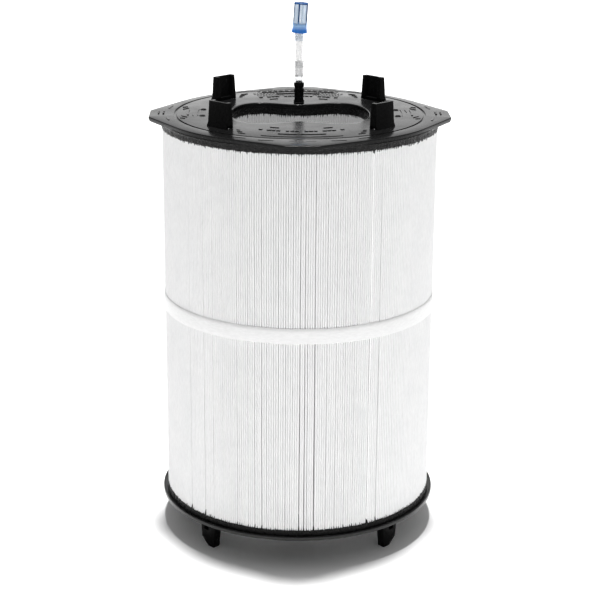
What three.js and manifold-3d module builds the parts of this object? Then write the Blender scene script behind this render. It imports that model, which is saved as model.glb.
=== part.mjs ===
// A large pleated pool-filter cartridge on four feet, in millimetres, +Z up.
// The origin is the middle of the base, level with the soles of the feet.
// Water passes inwards through the outer pleat pack and outwards through the inner one,
// into the clean-water space between the two support cores, and leaves by the spigots.
import * as THREE from 'three';
import { mergeVertices } from 'three/addons/utils/BufferGeometryUtils.js';
import Module from 'manifold-3d';

const wasm = await Module();
wasm.setup();

// ---- Driving dimensions ----

const TOUCH_GAP = 0.3;          // left between pieces that touch
const ROUND_STEPS = 64;         // sides of a large ring
const SMALL_STEPS = 20;         // sides of a small turned piece

const FOOT_HEIGHT = 53;         // floor to the underside of the bottom cap
const MEDIA_RADIUS = 228.5;     // outside of the outer pleats
const MEDIA_HEIGHT = 633.5;      // pleats that show between the two potting rings
const POTTING_RADIUS = 230;
const BOTTOM_POTTING_HEIGHT = 8;
const TOP_POTTING_HEIGHT = 10;

const BOTTOM_CAP_RADIUS = 237;
const BOTTOM_CAP_THICKNESS = 6.5;
const TOP_CAP_RADIUS = 230;
const TOP_CAP_THICKNESS = 9;
const EAR_REACH = 249.5;        // centre to the flat end of an ear
const EAR_HALF_WIDTH = 29;
const EAR_TANGENT_STEPS = 4;    // sides of the round stretch between two ears

const HOLE_HALF_LENGTH = 115;   // the waisted hole through both caps
const HOLE_LOBE_X = 66;
const HOLE_LOBE_HALF_WIDTH = 85;
const HOLE_WAIST_HALF_WIDTH = 70;
const HOLE_CURVE_STEPS = 5;     // sides of one of the hole's eight curves

const ENGRAVED_RADIUS = 206.6;
const ENGRAVED_WIDTH = 4.2;
const ENGRAVED_DEPTH = 2;

const INNER_PLEAT_START = 1;    // distances outwards from the edge of the hole
const INNER_PLEAT_END = 14;
const INNER_CORE_START = 14.5;
const INNER_CORE_END = 17;
const OUTER_CORE_INSIDE = 157;
const OUTER_CORE_OUTSIDE = 160;
const OUTER_PLEAT_INSIDE = 161;
const CORE_WINDOW_ROWS = 3;
const CORE_WINDOW_WIDTH = 34;
const CORE_BRIDGE = 34;         // solid height left between two rows of windows

const SEAM_AZIMUTH = -60.6;     // degrees from +X
const SEAM_WIDTH = 2.4;
const SEAM_INSIDE = 164;
const BAND_CENTRE = 338;        // above the lower end of the pleats that show
const BAND_HEIGHT = 25.6;
const BAND_THICKNESS = 1.2;

const LUG_X = 128.7;
const LUG_Y = 117.4;
const LUG_HEIGHT = 41;
const LUG_BASE = { length: 44, depth: 14 };
const LUG_TOP = { length: 41, depth: 10 };
const LUG_WEB = 4;              // wall on the outer side, behind the channel
const LUG_FLANGE = 6.5;         // walls on each side of the channel
const LUG_CHANNEL_START = 5;    // solid height under the channel
const TOE_HEIGHT = 6;           // low thickening along the outer side of the base
const TOE_REACH = 2.5;
const PEG = { length: 22, depth: 7 };

const FOOT_X = 149;
const FOOT_Y = 139;
const FOOT_LENGTH = 38;
const FOOT_SOLE_LENGTH = 13;
const FOOT_SOLE_INSET = 6.5;     // the inner edge leans in by this much at the sole
const FOOT_DEPTH = 14;
const FOOT_CUT_HEIGHT = 14;     // height at which the cut corner starts
const FOOT_OUTER_INSET = 3;     // how far the outer edge has leaned in at that height
const FOOT_PAD = { length: 41, depth: 17, height: 4 };
const FOOT_RECESS = { length: 11, depth: 7, height: 17, offset: -5 };

const BLEED_Y = 93;
const BLEED_BORE = 3.2;
const FITTING_HEIGHT = 34;
const BARB_HEIGHT = 3;          // reaches up inside the hose
const SHANK_RADIUS = 5.6;
const HOSE_OUTSIDE = 7.8;
const HOSE_INSIDE = 5.8;
const HOSE_TOP = 61;
const COLLAR_RADIUS = 9.1;
const COLLAR_TOP = 70.5;
const TUBE_OUTSIDE = 6.8;
const TUBE_INSIDE = 5.2;
const TUBE_START = 45;          // the tube reaches down inside the hose
const BUSHING_START = 105.5;
const BUSHING_RADIUS = 7.6;
const STRAINER_START = 119.2;
const STRAINER_HEIGHT = 50.8;
const STRAINER_LEAN = 3.6;      // degrees to the right
const STRAINER_RADIUS = 12.2;
const STRAINER_FLANGE_RADIUS = 13.3;
const STRAINER_BASE_HEIGHT = 13;
const STRAINER_FLARE = 8;       // height at which the base has narrowed to the body
const STRAINER_LID = 2.6;
const STRAINER_RIBS = 4;
const STRAINER_RIB_TURN = 29;  // degrees that the ribs are turned from even places
const SCREEN_OUTSIDE = 10.2;
const SCREEN_INSIDE = 9.4;

const SPIGOT_Y = 124;
const SPIGOT_RADIUS = 22;
const SPIGOT_BORE = 17.5;
const SPIGOT_REACH = 30;        // below the bottom cap
const SPIGOT_FLANGE_RADIUS = 27;
const SPIGOT_FLANGE_HEIGHT = 3;
const SEAL_SECTION = 1.9;       // radius of the O-ring's section
const SEAL_DEPTH_BELOW_CAP = 21;

// ---- Levels worked out from them ----

const BOTTOM_CAP_TOP = FOOT_HEIGHT + BOTTOM_CAP_THICKNESS;
const MEDIA_START = BOTTOM_CAP_TOP + BOTTOM_POTTING_HEIGHT;
const MEDIA_END = MEDIA_START + MEDIA_HEIGHT;
const TOP_CAP_START = MEDIA_END + TOP_POTTING_HEIGHT;
const TOP_CAP_FACE = TOP_CAP_START + TOP_CAP_THICKNESS;

// ---- Colours ----

const BLACK_PLASTIC = { color: 0x0c0c0d, roughness: 0.32, metalness: 0 };
const POTTING = { color: 0x101010, roughness: 0.6, metalness: 0 };
const WHITE_MEDIA = { color: 0xf1f2f2, roughness: 0.9, metalness: 0 };
const WHITE_PLASTIC = { color: 0xe6e7e6, roughness: 0.45, metalness: 0 };
const CLEAR_TUBE = { color: 0xe9eaea, roughness: 0.2, metalness: 0 };
const BLUE_PLASTIC = { color: 0x1f5fc4, roughness: 0.25, metalness: 0 };
const SCREEN_MESH = { color: 0xd4e2f5, roughness: 0.7, metalness: 0 };
const SEAL_RUBBER = { color: 0x151515, roughness: 0.75, metalness: 0 };

const cartridge = new THREE.Group();

// ---- Outlines ----

function circle(radius, steps = ROUND_STEPS, x = 0, y = 0) {
  const points = [];
  for (let i = 0; i < steps; i++) {
    const turn = (2 * Math.PI * i) / steps;
    points.push(new THREE.Vector2(x + radius * Math.cos(turn), y + radius * Math.sin(turn)));
  }
  return points;
}

// The waisted hole: rounded ends, and long sides that come closer at the middle.
function holeOutline() {
  const end = HOLE_HALF_LENGTH;
  const lobeX = HOLE_LOBE_X;
  const lobeY = HOLE_LOBE_HALF_WIDTH;
  const waist = HOLE_WAIST_HALF_WIDTH;
  const quarter = new THREE.CurvePath();
  const v = (x, y) => new THREE.Vector2(x, y);
  quarter.add(new THREE.CubicBezierCurve(v(end, 0), v(end, 45), v(98, lobeY), v(lobeX, lobeY)));
  quarter.add(new THREE.CubicBezierCurve(v(lobeX, lobeY), v(38, lobeY), v(30, waist), v(0, waist)));
  const first = quarter.curves.flatMap((curve) => curve.getPoints(HOLE_CURVE_STEPS).slice(0, -1));
  const points = [];
  points.push(...first, v(0, waist));
  points.push(...first.slice(1).reverse().map((p) => v(-p.x, p.y)));
  const upper = points.slice();
  points.push(v(-end, 0));
  points.push(...upper.slice(1).reverse().map((p) => v(p.x, -p.y)));
  return points;
}

// Moves a counter-clockwise outline outwards by a distance.
function offsetOutline(points, distance) {
  const count = points.length;
  return points.map((point, i) => {
    const before = points[(i + count - 1) % count];
    const after = points[(i + 1) % count];
    const along = after.clone().sub(before).normalize();
    return new THREE.Vector2(point.x + along.y * distance, point.y - along.x * distance);
  });
}

// The top cap's outline: a circle with four ears whose sides touch it as tangents.
function earedOutline() {
  const cornerReach = Math.hypot(EAR_REACH, EAR_HALF_WIDTH);
  const cornerAngle = Math.atan2(EAR_HALF_WIDTH, EAR_REACH);
  const tangentAngle = cornerAngle + Math.acos(TOP_CAP_RADIUS / cornerReach);
  const points = [];
  for (let ear = 0; ear < 4; ear++) {
    const middle = (ear * Math.PI) / 2;
    const at = (reach, angle) => {
      points.push(new THREE.Vector2(reach * Math.cos(angle), reach * Math.sin(angle)));
    };
    at(cornerReach, middle - cornerAngle);
    at(cornerReach, middle + cornerAngle);
    const arc = Math.PI / 2 - 2 * tangentAngle;
    for (let i = 0; i <= EAR_TANGENT_STEPS; i++) {
      at(TOP_CAP_RADIUS, middle + tangentAngle + (arc * i) / EAR_TANGENT_STEPS);
    }
  }
  return points;
}

function rectangle(length, depth) {
  const v = (x, y) => new THREE.Vector2(x, y);
  return [
    v(-length / 2, -depth / 2), v(length / 2, -depth / 2),
    v(length / 2, depth / 2), v(-length / 2, depth / 2),
  ];
}

// ---- Solids ----

function prism(outline, holes, bottom, top) {
  const shape = new THREE.Shape(outline);
  shape.holes = holes.map((hole) => new THREE.Path(hole));
  const geometry = new THREE.ExtrudeGeometry(shape, { depth: top - bottom, bevelEnabled: false });
  geometry.translate(0, 0, bottom);
  return geometry;
}

// A turned solid: its profile is a list of [radius, height] pairs that closes on itself.
function turned(profile, steps = SMALL_STEPS) {
  const points = profile.map(([radius, height]) => new THREE.Vector2(radius, height));
  const geometry = new THREE.LatheGeometry([...points, points[0].clone()], steps);
  geometry.rotateX(Math.PI / 2);
  return geometry;
}

function box(sizeX, sizeY, sizeZ, x, y, z) {
  return new THREE.BoxGeometry(sizeX, sizeY, sizeZ).translate(x, y, z);
}

// A block that tapers from a rectangle at the bottom to another at the top.
function taperedBlock(bottomSize, topSize, bottom, top, bottomShift = 0) {
  const block = new THREE.BoxGeometry(1, 1, 1);
  const position = block.attributes.position;
  for (let i = 0; i < position.count; i++) {
    const isTop = position.getZ(i) > 0;
    const size = isTop ? topSize : bottomSize;
    const shift = isTop ? 0 : bottomShift;
    position.setX(i, position.getX(i) * size.length);
    position.setY(i, position.getY(i) * size.depth + shift);
    position.setZ(i, isTop ? top : bottom);
  }
  return block;
}

function toSolid(geometry) {
  const bare = geometry.clone();
  bare.deleteAttribute('normal');
  bare.deleteAttribute('uv');
  const merged = mergeVertices(bare, 1e-4);
  return new wasm.Manifold(new wasm.Mesh({
    numProp: 3,
    vertProperties: new Float32Array(merged.attributes.position.array),
    triVerts: new Uint32Array(merged.index.array),
  }));
}

function toGeometry(solid) {
  const mesh = solid.getMesh();
  const geometry = new THREE.BufferGeometry();
  geometry.setAttribute('position', new THREE.BufferAttribute(mesh.vertProperties, 3));
  geometry.setIndex(new THREE.BufferAttribute(mesh.triVerts, 1));
  return geometry;
}

function cut(geometry, cutters) {
  const start = toSolid(geometry);
  return toGeometry(cutters.reduce((solid, cutter) => solid.subtract(toSolid(cutter)), start));
}

function join(pieces) {
  const solids = pieces.map(toSolid);
  return toGeometry(solids.reduce((whole, solid) => whole.add(solid)));
}

function addPiece(parent, name, geometry, look) {
  const mesh = new THREE.Mesh(geometry, new THREE.MeshStandardMaterial(look));
  mesh.name = name;
  parent.add(mesh);
  return mesh;
}

// ---- Caps ----

const hole = holeOutline();

const corners = [
  { name: 'front_left', x: -1, y: -1 },
  { name: 'front_right', x: 1, y: -1 },
  { name: 'rear_right', x: 1, y: 1 },
  { name: 'rear_left', x: -1, y: 1 },
];

// Turns a corner piece so that its own -Y side faces away from the centre of the cartridge.
function cornerTurn(corner) {
  return Math.atan2(corner.y, corner.x) + Math.PI / 2;
}

function pegPocket(corner, x, y, bottom, top) {
  const grown = rectangle(PEG.length + 2 * TOUCH_GAP, PEG.depth + 2 * TOUCH_GAP);
  const pocket = prism(grown, [], bottom, top);
  pocket.rotateZ(cornerTurn(corner));
  pocket.translate(corner.x * x, corner.y * y, 0);
  return pocket;
}

function topEndCap() {
  const plate = prism(earedOutline(), [hole], TOP_CAP_START, TOP_CAP_FACE);
  const lineOutside = circle(ENGRAVED_RADIUS + ENGRAVED_WIDTH / 2);
  const lineInside = circle(ENGRAVED_RADIUS - ENGRAVED_WIDTH / 2);
  const line = prism(lineOutside, [lineInside], TOP_CAP_FACE - ENGRAVED_DEPTH, TOP_CAP_FACE + 1);
  const bore = prism(circle(SHANK_RADIUS + TOUCH_GAP, SMALL_STEPS, 0, BLEED_Y), [],
    TOP_CAP_START - 1, TOP_CAP_FACE + 1);
  const pockets = corners.map((corner) => (
    pegPocket(corner, LUG_X, LUG_Y, TOP_CAP_START - 1, TOP_CAP_FACE + 1)));
  addPiece(cartridge, 'top_end_cap', cut(plate, [line, bore, ...pockets]), BLACK_PLASTIC);
}

function bottomEndCap() {
  const boreRadius = SPIGOT_RADIUS + TOUCH_GAP;
  const bores = [-1, 1].map((side) => circle(boreRadius, SMALL_STEPS, 0, side * SPIGOT_Y));
  const plate = prism(circle(BOTTOM_CAP_RADIUS), [hole, ...bores], FOOT_HEIGHT, BOTTOM_CAP_TOP);
  const pockets = corners.map((corner) => (
    pegPocket(corner, FOOT_X, FOOT_Y, FOOT_HEIGHT - 1, BOTTOM_CAP_TOP + 1)));
  addPiece(cartridge, 'bottom_end_cap', cut(plate, pockets), BLACK_PLASTIC);
}

// ---- Lugs and feet ----

// An upright post: solid on its outer side, channelled on the side that faces the centre.
function lugGeometry() {
  const post = taperedBlock(LUG_BASE, LUG_TOP, TOUCH_GAP, LUG_HEIGHT);
  const toe = taperedBlock(LUG_BASE, LUG_BASE, TOUCH_GAP, TOE_HEIGHT, -TOE_REACH);
  const peg = box(PEG.length, PEG.depth, TOP_CAP_THICKNESS, 0, 0, -TOP_CAP_THICKNESS / 2 + 1);
  const channelStart = LUG_WEB - LUG_TOP.depth / 2;
  const channel = box(LUG_TOP.length - 2 * LUG_FLANGE, LUG_BASE.depth, LUG_HEIGHT,
    0, channelStart + LUG_BASE.depth / 2, LUG_HEIGHT / 2 + LUG_CHANNEL_START);
  return cut(join([post, toe, peg]), [channel]);
}

function topLugs() {
  const geometry = lugGeometry();
  for (const corner of corners) {
    const lug = addPiece(cartridge, `top_lug_${corner.name}`, geometry.clone(), BLACK_PLASTIC);
    lug.position.set(corner.x * LUG_X, corner.y * LUG_Y, TOP_CAP_FACE);
    lug.rotation.z = cornerTurn(corner);
  }
}

// A stub foot. One lower corner is cut off, and its outer side has a shallow recess.
function footGeometry(mirror) {
  const half = FOOT_LENGTH / 2;
  const top = FOOT_HEIGHT - FOOT_PAD.height;
  const soleEnd = half - FOOT_SOLE_INSET;
  const v = (x, z) => new THREE.Vector2(mirror * x, z);
  const side = [
    v(soleEnd, 0), v(half, top), v(-half, top),
    v(-half + FOOT_OUTER_INSET, FOOT_CUT_HEIGHT), v(soleEnd - FOOT_SOLE_LENGTH, 0),
  ];
  const blade = prism(side, [], -FOOT_DEPTH / 2, FOOT_DEPTH / 2);
  blade.rotateX(Math.PI / 2);
  const padMiddle = FOOT_HEIGHT - TOUCH_GAP - FOOT_PAD.height / 2;
  const pad = box(FOOT_PAD.length, FOOT_PAD.depth, FOOT_PAD.height, 0, 0, padMiddle);
  const peg = box(PEG.length, PEG.depth, BOTTOM_CAP_THICKNESS, 0, 0, FOOT_HEIGHT + 1);
  const recess = box(FOOT_RECESS.length, FOOT_RECESS.depth, FOOT_RECESS.height,
    mirror * FOOT_RECESS.offset, (FOOT_RECESS.depth - FOOT_DEPTH) / 2,
    top - FOOT_RECESS.height / 2 - 3);
  return cut(join([blade, pad, peg]), [recess]);
}

function feet() {
  for (const corner of corners) {
    const mirror = corner.x * corner.y > 0 ? 1 : -1;
    const geometry = footGeometry(mirror);
    const foot = addPiece(cartridge, `foot_${corner.name}`, geometry, BLACK_PLASTIC);
    foot.position.set(corner.x * FOOT_X, corner.y * FOOT_Y, 0);
    foot.rotation.z = cornerTurn(corner);
  }
}

// ---- Media, potting and cores ----

function ring(outside, inside, bottom, top) {
  return prism(outside, [inside], bottom + TOUCH_GAP / 2, top - TOUCH_GAP / 2);
}

function seamBlock(width, from, to, bottom, top) {
  const block = box(to - from, width, top - bottom, (from + to) / 2, 0, (bottom + top) / 2);
  return block.rotateZ(THREE.MathUtils.degToRad(SEAM_AZIMUTH));
}

function pleatPacks() {
  const outer = ring(circle(MEDIA_RADIUS), circle(OUTER_PLEAT_INSIDE), MEDIA_START, MEDIA_END);
  const slotWidth = SEAM_WIDTH + 2 * TOUCH_GAP;
  const slot = seamBlock(slotWidth, OUTER_PLEAT_INSIDE - 5, MEDIA_RADIUS + 5, MEDIA_START, MEDIA_END);
  addPiece(cartridge, 'outer_pleat_pack', cut(outer, [slot]), WHITE_MEDIA);
  const seam = seamBlock(SEAM_WIDTH, SEAM_INSIDE, MEDIA_RADIUS - TOUCH_GAP,
    MEDIA_START + TOUCH_GAP / 2, MEDIA_END - TOUCH_GAP / 2);
  addPiece(cartridge, 'outer_media_seam', seam, WHITE_PLASTIC);
  const inner = ring(offsetOutline(hole, INNER_PLEAT_END), offsetOutline(hole, INNER_PLEAT_START),
    MEDIA_START, MEDIA_END);
  addPiece(cartridge, 'inner_pleat_pack', inner, WHITE_MEDIA);
}

function pottingRings() {
  const ends = [
    { name: 'bottom', from: BOTTOM_CAP_TOP, to: MEDIA_START },
    { name: 'top', from: MEDIA_END, to: TOP_CAP_START },
  ];
  for (const end of ends) {
    const outer = ring(circle(POTTING_RADIUS), circle(OUTER_PLEAT_INSIDE), end.from, end.to);
    addPiece(cartridge, `outer_potting_${end.name}`, outer, POTTING);
    const inner = ring(offsetOutline(hole, INNER_PLEAT_END), hole, end.from, end.to);
    addPiece(cartridge, `inner_potting_${end.name}`, inner, POTTING);
  }
}

// Rows of openings, each cut right through the core from one side to the other.
function coreWindows(reach) {
  const height = TOP_CAP_START - BOTTOM_CAP_TOP;
  const rowHeight = (height - CORE_BRIDGE) / CORE_WINDOW_ROWS;
  const windows = [];
  for (let row = 0; row < CORE_WINDOW_ROWS; row++) {
    const middle = BOTTOM_CAP_TOP + CORE_BRIDGE + rowHeight * row + (rowHeight - CORE_BRIDGE) / 2;
    for (let turn = 0; turn < 4; turn++) {
      const window = box(2 * reach, CORE_WINDOW_WIDTH, rowHeight - CORE_BRIDGE, 0, 0, middle);
      windows.push(window.rotateZ(((turn + 0.5) * Math.PI) / 4));
    }
  }
  return windows;
}

function supportCores() {
  const windows = coreWindows(OUTER_CORE_OUTSIDE + 20);
  const sides = ROUND_STEPS / 2;
  const outer = ring(circle(OUTER_CORE_OUTSIDE, sides), circle(OUTER_CORE_INSIDE, sides),
    BOTTOM_CAP_TOP, TOP_CAP_START);
  addPiece(cartridge, 'outer_support_core', cut(outer, windows), WHITE_PLASTIC);
  const inner = ring(offsetOutline(hole, INNER_CORE_END), offsetOutline(hole, INNER_CORE_START),
    BOTTOM_CAP_TOP, TOP_CAP_START);
  addPiece(cartridge, 'inner_support_core', cut(inner, windows), WHITE_PLASTIC);
}

function midBand() {
  const inside = MEDIA_RADIUS + TOUCH_GAP;
  const middle = MEDIA_START + BAND_CENTRE;
  const band = prism(circle(inside + BAND_THICKNESS), [circle(inside)],
    middle - BAND_HEIGHT / 2, middle + BAND_HEIGHT / 2);
  addPiece(cartridge, 'mid_band', band, WHITE_PLASTIC);
}

// ---- Air bleed ----

const bleed = new THREE.Group();
bleed.position.set(0, BLEED_Y, TOP_CAP_FACE);
cartridge.add(bleed);

function bleedFitting() {
  const gasketTop = 1.5 + TOUCH_GAP;
  const shankEnd = -TOP_CAP_THICKNESS - 3;
  const shank = [[BLEED_BORE, shankEnd], [SHANK_RADIUS, shankEnd]];
  const body = [[SHANK_RADIUS, gasketTop], [9, gasketTop], [9, 3.5], [7.8, 4.5], [7.8, 19]];
  const ribs = [[9, 20], [9, 23], [7.8, 24], [7.8, 27], [8.9, 28], [8.9, FITTING_HEIGHT]];
  const barbTop = FITTING_HEIGHT + BARB_HEIGHT;
  const barb = [[5.4, FITTING_HEIGHT], [5.4, barbTop], [BLEED_BORE, barbTop]];
  const fitting = turned([...shank, ...body, ...ribs, ...barb]);
  addPiece(bleed, 'bleed_fitting', fitting, BLACK_PLASTIC);
  const gasketInside = SHANK_RADIUS + TOUCH_GAP;
  const gasket = turned([[gasketInside, TOUCH_GAP], [9, TOUCH_GAP], [9, 1.5], [gasketInside, 1.5]]);
  addPiece(bleed, 'bleed_gasket', gasket, SEAL_RUBBER);
}

function pipe(outside, inside, from, to) {
  return turned([[inside, from], [outside, from], [outside, to], [inside, to]]);
}

function bleedTubes() {
  const hoseStart = FITTING_HEIGHT + TOUCH_GAP;
  const tubeSeat = TUBE_OUTSIDE + TOUCH_GAP;
  const hose = turned([
    [HOSE_INSIDE, hoseStart], [HOSE_OUTSIDE, hoseStart], [HOSE_OUTSIDE, HOSE_TOP],
    [tubeSeat, HOSE_TOP], [tubeSeat, TUBE_START - TOUCH_GAP], [HOSE_INSIDE, TUBE_START - TOUCH_GAP],
  ]);
  addPiece(bleed, 'bleed_hose', hose, CLEAR_TUBE);
  const collar = pipe(COLLAR_RADIUS, tubeSeat, HOSE_TOP + TOUCH_GAP, COLLAR_TOP);
  addPiece(bleed, 'bleed_collar', collar, CLEAR_TUBE);
  const tubeTop = STRAINER_START + STRAINER_BASE_HEIGHT - 3;
  const tube = pipe(TUBE_OUTSIDE, TUBE_INSIDE, TUBE_START, tubeTop);
  addPiece(bleed, 'bleed_tube', tube, CLEAR_TUBE);
  const bushing = pipe(BUSHING_RADIUS, TUBE_OUTSIDE + TOUCH_GAP, BUSHING_START, STRAINER_START - 1);
  addPiece(bleed, 'strainer_bushing', bushing, CLEAR_TUBE);
}

// The strainer leans a little on its tube. Its parts are drawn from its own lower face.
function strainer() {
  const group = new THREE.Group();
  group.position.z = STRAINER_START;
  group.rotation.y = THREE.MathUtils.degToRad(STRAINER_LEAN);
  bleed.add(group);
  const socket = TUBE_OUTSIDE + 0.9;
  const baseTop = STRAINER_BASE_HEIGHT;
  const base = turned([
    [socket, 0], [STRAINER_FLANGE_RADIUS, 0], [STRAINER_FLANGE_RADIUS, 2.5],
    [STRAINER_RADIUS, STRAINER_FLARE], [STRAINER_RADIUS, baseTop], [socket, baseTop],
  ]);
  addPiece(group, 'strainer_base', base, BLUE_PLASTIC);
  const capBottom = STRAINER_HEIGHT - STRAINER_LID;
  const cap = turned([
    [0, capBottom], [STRAINER_RADIUS, capBottom], [STRAINER_RADIUS, STRAINER_HEIGHT - 1],
    [STRAINER_RADIUS - 1.5, STRAINER_HEIGHT], [0, STRAINER_HEIGHT],
  ]);
  const pieces = [cap];
  const ribStart = baseTop + TOUCH_GAP;
  for (let i = 0; i < STRAINER_RIBS; i++) {
    const inside = SCREEN_OUTSIDE + TOUCH_GAP;
    const middle = (inside + STRAINER_RADIUS - 0.2) / 2;
    const rib = box(STRAINER_RADIUS - 0.2 - inside, 2.2, capBottom + 1 - ribStart,
      middle, 0, (capBottom + 1 + ribStart) / 2);
    const place = ((i + 0.5) * 360) / STRAINER_RIBS + STRAINER_RIB_TURN;
    pieces.push(rib.rotateZ(THREE.MathUtils.degToRad(place)));
  }
  pieces.push(pipe(STRAINER_RADIUS - 0.1, SCREEN_OUTSIDE + TOUCH_GAP, ribStart, ribStart + 2));
  addPiece(group, 'strainer_cage', join(pieces), BLUE_PLASTIC);
  const screen = pipe(SCREEN_OUTSIDE, SCREEN_INSIDE, ribStart, capBottom - TOUCH_GAP);
  addPiece(group, 'strainer_screen', screen, SCREEN_MESH);
}

// ---- Outlets ----

function outlets() {
  const sides = [{ name: 'front', y: -SPIGOT_Y }, { name: 'rear', y: SPIGOT_Y }];
  const sealLevel = -SEAL_DEPTH_BELOW_CAP;
  const grooveHalf = SEAL_SECTION + TOUCH_GAP;
  const grooveRadius = SPIGOT_RADIUS - 2.2;
  const flangeBottom = BOTTOM_CAP_THICKNESS + TOUCH_GAP;
  const flangeTop = flangeBottom + SPIGOT_FLANGE_HEIGHT;
  const profile = [
    [SPIGOT_BORE, -SPIGOT_REACH], [SPIGOT_RADIUS - 1.5, -SPIGOT_REACH],
    [SPIGOT_RADIUS, -SPIGOT_REACH + 1.5], [SPIGOT_RADIUS, sealLevel - grooveHalf],
    [grooveRadius, sealLevel - grooveHalf], [grooveRadius, sealLevel + grooveHalf],
    [SPIGOT_RADIUS, sealLevel + grooveHalf], [SPIGOT_RADIUS, flangeBottom],
    [SPIGOT_FLANGE_RADIUS, flangeBottom], [SPIGOT_FLANGE_RADIUS, flangeTop], [SPIGOT_BORE, flangeTop],
  ];
  const sealMiddle = grooveRadius + TOUCH_GAP + SEAL_SECTION;
  const sealProfile = circle(SEAL_SECTION, 6, sealMiddle, sealLevel).map((p) => [p.x, p.y]);
  for (const side of sides) {
    const spigot = addPiece(cartridge, `outlet_spigot_${side.name}`, turned(profile), BLACK_PLASTIC);
    spigot.position.set(0, side.y, FOOT_HEIGHT);
    const seal = addPiece(cartridge, `outlet_seal_${side.name}`, turned(sealProfile), SEAL_RUBBER);
    seal.position.set(0, side.y, FOOT_HEIGHT);
  }
}

topEndCap();
bottomEndCap();
topLugs();
feet();
pleatPacks();
pottingRings();
supportCores();
midBand();
bleedFitting();
bleedTubes();
strainer();
outlets();

export default cartridge;
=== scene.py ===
"""The looks of a large pleated pool-filter cartridge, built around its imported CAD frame.

Profiles and outlines are in millimetres, and to_mesh turns them into metres.
"""
import math

import bmesh
import bpy
import numpy as np
from mathutils import Matrix, Vector, noise


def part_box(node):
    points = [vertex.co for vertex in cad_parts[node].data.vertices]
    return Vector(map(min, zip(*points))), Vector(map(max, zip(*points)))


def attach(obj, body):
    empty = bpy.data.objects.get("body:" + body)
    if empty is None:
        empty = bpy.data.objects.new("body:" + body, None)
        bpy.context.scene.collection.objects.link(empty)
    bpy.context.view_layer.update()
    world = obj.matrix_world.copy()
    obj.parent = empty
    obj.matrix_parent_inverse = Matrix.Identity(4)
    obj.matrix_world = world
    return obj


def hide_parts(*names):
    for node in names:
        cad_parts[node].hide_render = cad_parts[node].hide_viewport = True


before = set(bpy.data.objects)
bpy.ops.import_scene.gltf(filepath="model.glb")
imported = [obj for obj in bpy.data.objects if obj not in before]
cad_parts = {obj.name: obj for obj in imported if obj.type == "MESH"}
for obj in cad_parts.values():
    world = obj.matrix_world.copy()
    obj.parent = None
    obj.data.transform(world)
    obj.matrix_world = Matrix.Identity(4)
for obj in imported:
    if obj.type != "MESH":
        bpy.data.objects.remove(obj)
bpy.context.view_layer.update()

MM = 0.001

# ---- Camera ----

CAMERA_PLACE = (-0.0550, -2.7447, 1.2659)
CAMERA_YAW = 1.39        # degrees towards +X
CAMERA_PITCH = 17.45     # degrees below the horizon
CAMERA_ROLL = 0.44
CAMERA_LENS = 98.75


def add_camera():
    camera = bpy.data.objects.new("camera", bpy.data.cameras.new("camera"))
    camera.data.lens = CAMERA_LENS
    camera.data.clip_end = 200
    yaw = Matrix.Rotation(math.radians(-CAMERA_YAW), 4, "Z")
    pitch = Matrix.Rotation(math.radians(90 - CAMERA_PITCH), 4, "X")
    roll = Matrix.Rotation(math.radians(CAMERA_ROLL), 4, "Z")
    camera.matrix_world = Matrix.Translation(CAMERA_PLACE) @ yaw @ pitch @ roll
    bpy.context.collection.objects.link(camera)
    bpy.context.scene.camera = camera


add_camera()


# ---- Sizes read from the frame, in millimetres ----


def box_mm(node):
    low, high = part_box(node)
    return low / MM, high / MM


top_low, top_high = box_mm("top_end_cap")
bottom_low, bottom_high = box_mm("bottom_end_cap")
media_low, media_high = box_mm("outer_pleat_pack")
inner_high = box_mm("inner_pleat_pack")[1]
band_low, band_high = box_mm("mid_band")

TOP_FACE = top_high.z
TOP_START = top_low.z
BOTTOM_FACE = bottom_low.z
BOTTOM_TOP = bottom_high.z
EAR_REACH = top_high.x
RIM_RADIUS = box_mm("outer_potting_top")[1].x
BOTTOM_RADIUS = bottom_high.x
MEDIA_RADIUS = media_high.x
MEDIA_START = media_low.z
MEDIA_END = media_high.z
CORE_RADIUS = box_mm("outer_support_core")[1].x

EAR_HALF_WIDTH = 29
EAR_SOFTNESS = 0.7         # how far the corners of the ears are rounded off
INNER_PLEAT_END = 14       # how far the inner pleats reach from the hole's edge
HOLE_LENGTH = inner_high.x - INNER_PLEAT_END
HOLE_WIDTH = inner_high.y - INNER_PLEAT_END
ENGRAVED_RADIUS = 206.6
ENGRAVED_WIDTH = 4.2
ENGRAVED_DEPTH = 2.0
SPIGOT_RADIUS = 22
SEAM_AZIMUTH = math.radians(-60.6)


# ---- Outlines ----


def bezier(start, first, second, end):
    t = np.linspace(0, 1, 80, endpoint=False)[:, None]
    p = [np.array(point, float) for point in (start, first, second, end)]
    return (1 - t) ** 3 * p[0] + 3 * (1 - t) ** 2 * t * p[1] + 3 * (1 - t) * t**2 * p[2] + t**3 * p[3]


def hole_quarter():
    """A quarter of the waisted hole: from its end, over a lobe, to its waist."""
    end, lobe = HOLE_LENGTH, HOLE_WIDTH
    lobe_x, waist = 0.574 * end, 0.8235 * lobe
    rise = bezier((end, 0), (end, 0.53 * lobe), (0.852 * end, lobe), (lobe_x, lobe))
    fall = bezier((lobe_x, lobe), (0.33 * end, lobe), (0.26 * end, waist), (0, waist))
    return np.vstack([rise, fall, [[0, waist]]])


def hole_line():
    """The whole hole outline, counter-clockwise from +X, closed but not repeated."""
    quarter = hole_quarter()
    half = np.vstack([quarter, quarter[-2::-1] * (-1, 1)])
    return np.vstack([half[:-1], (half * (1, -1))[:0:-1]])


def normals_of(line):
    """Unit normals of a closed line, outward where it runs counter-clockwise."""
    along = np.roll(line, -1, 0) - np.roll(line, 1, 0)
    along /= np.linalg.norm(along, axis=1)[:, None]
    return np.column_stack([along[:, 1], -along[:, 0]])


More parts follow.
